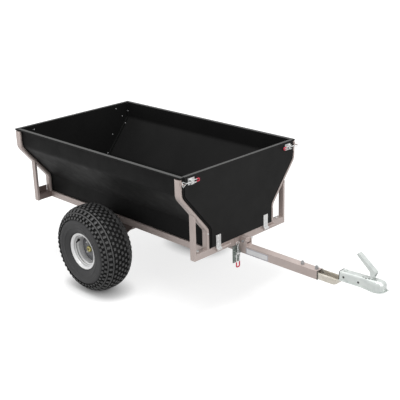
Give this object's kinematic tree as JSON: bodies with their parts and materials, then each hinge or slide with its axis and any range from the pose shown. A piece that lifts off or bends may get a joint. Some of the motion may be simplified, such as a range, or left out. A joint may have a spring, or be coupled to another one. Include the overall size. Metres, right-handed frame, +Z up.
{
  "type": "garden trailer",
  "caption": "Tipping flatbed garden trailer with flared open tub, drop-down front gate, toggle latches, low-pressure tyres, drawbar and ball coupling.",
  "frame": {"origin": "on the ground in the middle of the bounding box", "axes": "+X forward to the coupling, +Y to the left wheel, +Z up"},
  "size_m": [2.556, 1.14, 0.9293],
  "materials": {
    "tub_sheet": "smooth black sheet",
    "frame_paint": "satin warm grey metallic paint",
    "zinc": "zinc plated",
    "red_grip": "red dipped grip",
    "tyre": "matt black rubber",
    "rim": "silver paint",
    "wheel_disc": "dark grey",
    "hub_cap": "dull yellow",
    "coupling_steel": "zinc plated pressed steel"
  },
  "bodies": {
    "chassis": {"axle": "frame_paint", "axle_saddle": "frame_paint", "drawbar": "frame_paint", "coupler_bracket": "zinc", "coupling_body": "coupling_steel", "ball_clamp": "zinc", "lock_bracket": "frame_paint", "latch_plate": "frame_paint", "latch_base_tilt": "zinc"},
    "tub": {"crossbar_front": "frame_paint", "crossbar_rear": "frame_paint", "floor_panel": "tub_sheet", "gate_catch_left": "zinc", "gate_catch_right": "zinc", "hinge_pin_left": "frame_paint", "hinge_pin_right": "frame_paint", "lock_tongue": "frame_paint", "pivot_plate_left": "frame_paint", "pivot_plate_right": "frame_paint", "post_front_left": "frame_paint", "post_front_right": "frame_paint", "post_rear_left": "frame_paint", "post_rear_right": "frame_paint", "rear_corner_strip_left": "tub_sheet", "rear_corner_strip_right": "tub_sheet", "rear_gusset_left": "frame_paint", "rear_gusset_right": "frame_paint", "rear_panel": "tub_sheet", "side_panel_left": "tub_sheet", "side_panel_right": "tub_sheet", "side_rail_left": "frame_paint", "side_rail_right": "frame_paint", "strut_front_left": "frame_paint", "strut_front_right": "frame_paint", "strut_rear_left": "frame_paint", "strut_rear_right": "frame_paint", "tilt_keeper": "zinc"},
    "gate": {"gate_panel": "tub_sheet", "hinge_strap_left": "zinc", "hinge_strap_right": "zinc", "latch_base_gate_left": "zinc", "latch_base_gate_right": "zinc"},
    "gate_handle_right": {"latch_handle_gate_right": "red_grip"},
    "gate_handle_left": {"latch_handle_gate_left": "red_grip"},
    "gate_bail_right": {"latch_bail_gate_right": "zinc"},
    "gate_bail_left": {"latch_bail_gate_left": "zinc"},
    "tilt_handle": {"latch_handle_tilt": "red_grip"},
    "tilt_bail": {"latch_bail_tilt": "zinc"},
    "coupling_lever": {"coupling_lever": "coupling_steel"},
    "lock_pin": {"lock_pin": "zinc"},
    "lock_clip": {"lock_clip": "zinc"},
    "wheel_right": {"tyre_right": "tyre", "rim_right": "rim", "disc_right": "wheel_disc", "hub_cap_right": "hub_cap"},
    "wheel_left": {"tyre_left": "tyre", "rim_left": "rim", "disc_left": "wheel_disc", "hub_cap_left": "hub_cap"}
  },
  "joints": [
    {"name": "tub_tilt", "type": "hinge", "parent": "chassis", "child": "tub", "pos_m": [-0.563, 0, 0.2795], "axis": [0, -1, 0], "range_deg": [0, 32]},
    {"name": "gate_hinge", "type": "hinge", "parent": "tub", "child": "gate", "pos_m": [0.2865, 0, 0.432], "axis": [0, 1, 0], "range_deg": [0, 60]},
    {"name": "gate_handle_right_turn", "type": "hinge", "parent": "gate", "child": "gate_handle_right", "pos_m": [0.2967, -0.42, 0.897], "axis": [0, 0, -1], "range_deg": [0, 110]},
    {"name": "gate_bail_right_turn", "type": "hinge", "parent": "gate_handle_right", "child": "gate_bail_right", "pos_m": [0.2967, -0.412, 0.897], "axis": [0, 0, -1], "range_deg": [-110, 0]},
    {"name": "gate_handle_left_turn", "type": "hinge", "parent": "gate", "child": "gate_handle_left", "pos_m": [0.2967, 0.42, 0.897], "axis": [0, 0, 1], "range_deg": [0, 110]},
    {"name": "gate_bail_left_turn", "type": "hinge", "parent": "gate_handle_left", "child": "gate_bail_left", "pos_m": [0.2967, 0.412, 0.897], "axis": [0, 0, 1], "range_deg": [-110, 0]},
    {"name": "tilt_handle_turn", "type": "hinge", "parent": "chassis", "child": "tilt_handle", "pos_m": [0.2897, -0.051, 0.357], "axis": [0, -1, 0], "range_deg": [0, 110]},
    {"name": "tilt_bail_turn", "type": "hinge", "parent": "tilt_handle", "child": "tilt_bail", "pos_m": [0.2897, -0.051, 0.349], "axis": [0, -1, 0], "range_deg": [-110, 0]},
    {"name": "coupling_lever_turn", "type": "hinge", "parent": "chassis", "child": "coupling_lever", "pos_m": [1.19, 0, 0.47], "axis": [0, 1, 0], "range_deg": [-30, 40]},
    {"name": "lock_pin_slide", "type": "slide", "parent": "chassis", "child": "lock_pin", "axis": [0, -1, 0], "range_m": [0, 0.0095]},
    {"name": "lock_clip_slide", "type": "slide", "parent": "lock_pin", "child": "lock_clip", "axis": [0.7071, 0, 0.7071], "range_m": [0, 0.02]},
    {"name": "wheel_right_spin", "type": "hinge", "parent": "chassis", "child": "wheel_right", "pos_m": [-0.563, -0.4525, 0.2795], "axis": [0, 1, 0], "continuous": true},
    {"name": "wheel_left_spin", "type": "hinge", "parent": "chassis", "child": "wheel_left", "pos_m": [-0.563, 0.4525, 0.2795], "axis": [0, 1, 0], "continuous": true}
  ],
  "couplings": [
    {"joint": "gate_bail_right_turn", "follows": "gate_handle_right_turn", "ratio": -1},
    {"joint": "gate_bail_left_turn", "follows": "gate_handle_left_turn", "ratio": -1},
    {"joint": "tilt_bail_turn", "follows": "tilt_handle_turn", "ratio": -1}
  ]
}
